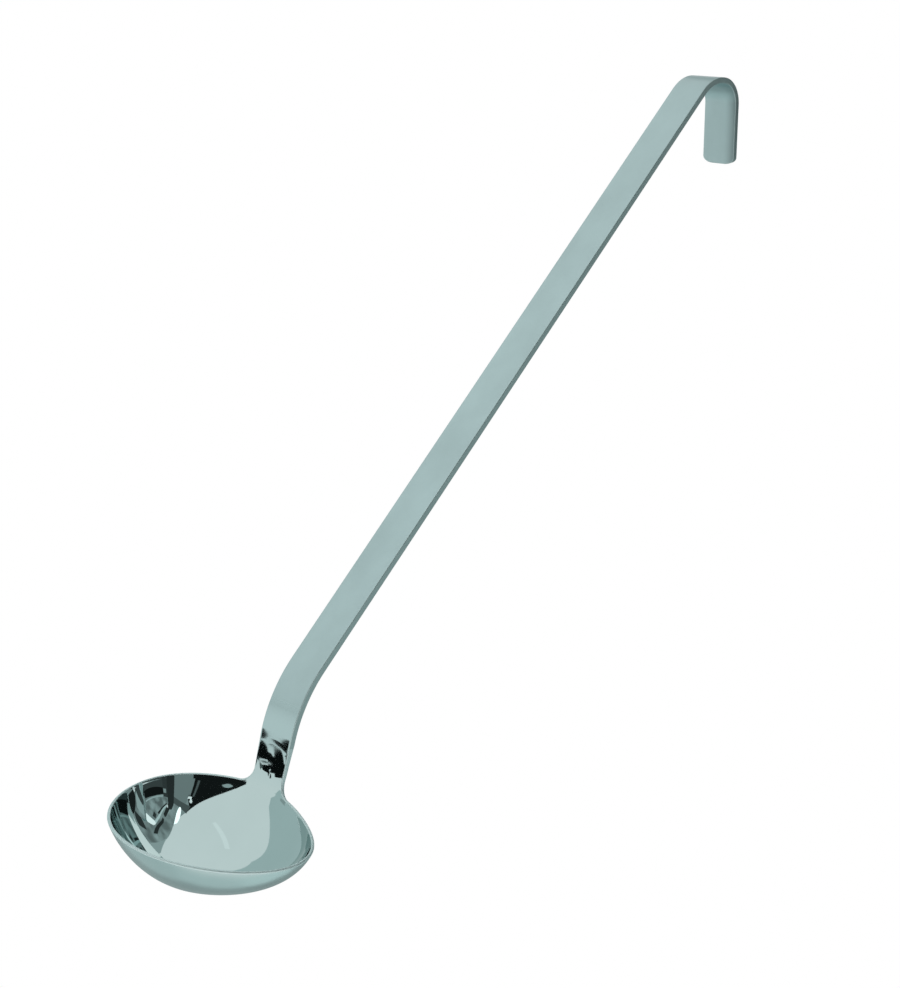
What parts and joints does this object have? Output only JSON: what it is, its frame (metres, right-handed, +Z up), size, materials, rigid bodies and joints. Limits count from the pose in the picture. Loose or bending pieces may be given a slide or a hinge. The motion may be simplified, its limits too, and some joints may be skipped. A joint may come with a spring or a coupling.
{
  "type": "sauce ladle",
  "caption": "Small stainless steel ladle: an oval pressed bowl on a tapered neck, and a long flat bar handle that bends back and ends in a hanging hook.",
  "frame": {"origin": "the crown of the hook on its inside, where it rests on a rail", "axes": "+Z up along the straight of the handle, as the ladle hangs; -Y is the side of the bowl's front lip, +Y the side that the hook curls over to; X runs across the bar"},
  "size_m": [0.0882, 0.0629, 0.408],
  "materials": {
    "polished_steel": "mirror-polished stainless steel with faint polishing lines",
    "satin_steel": "satin stainless steel, finely brushed along the bar"
  },
  "bodies": {
    "root": {"bowl": "polished_steel", "neck_weld": "polished_steel", "handle": "satin_steel"}
  },
  "joints": []
}
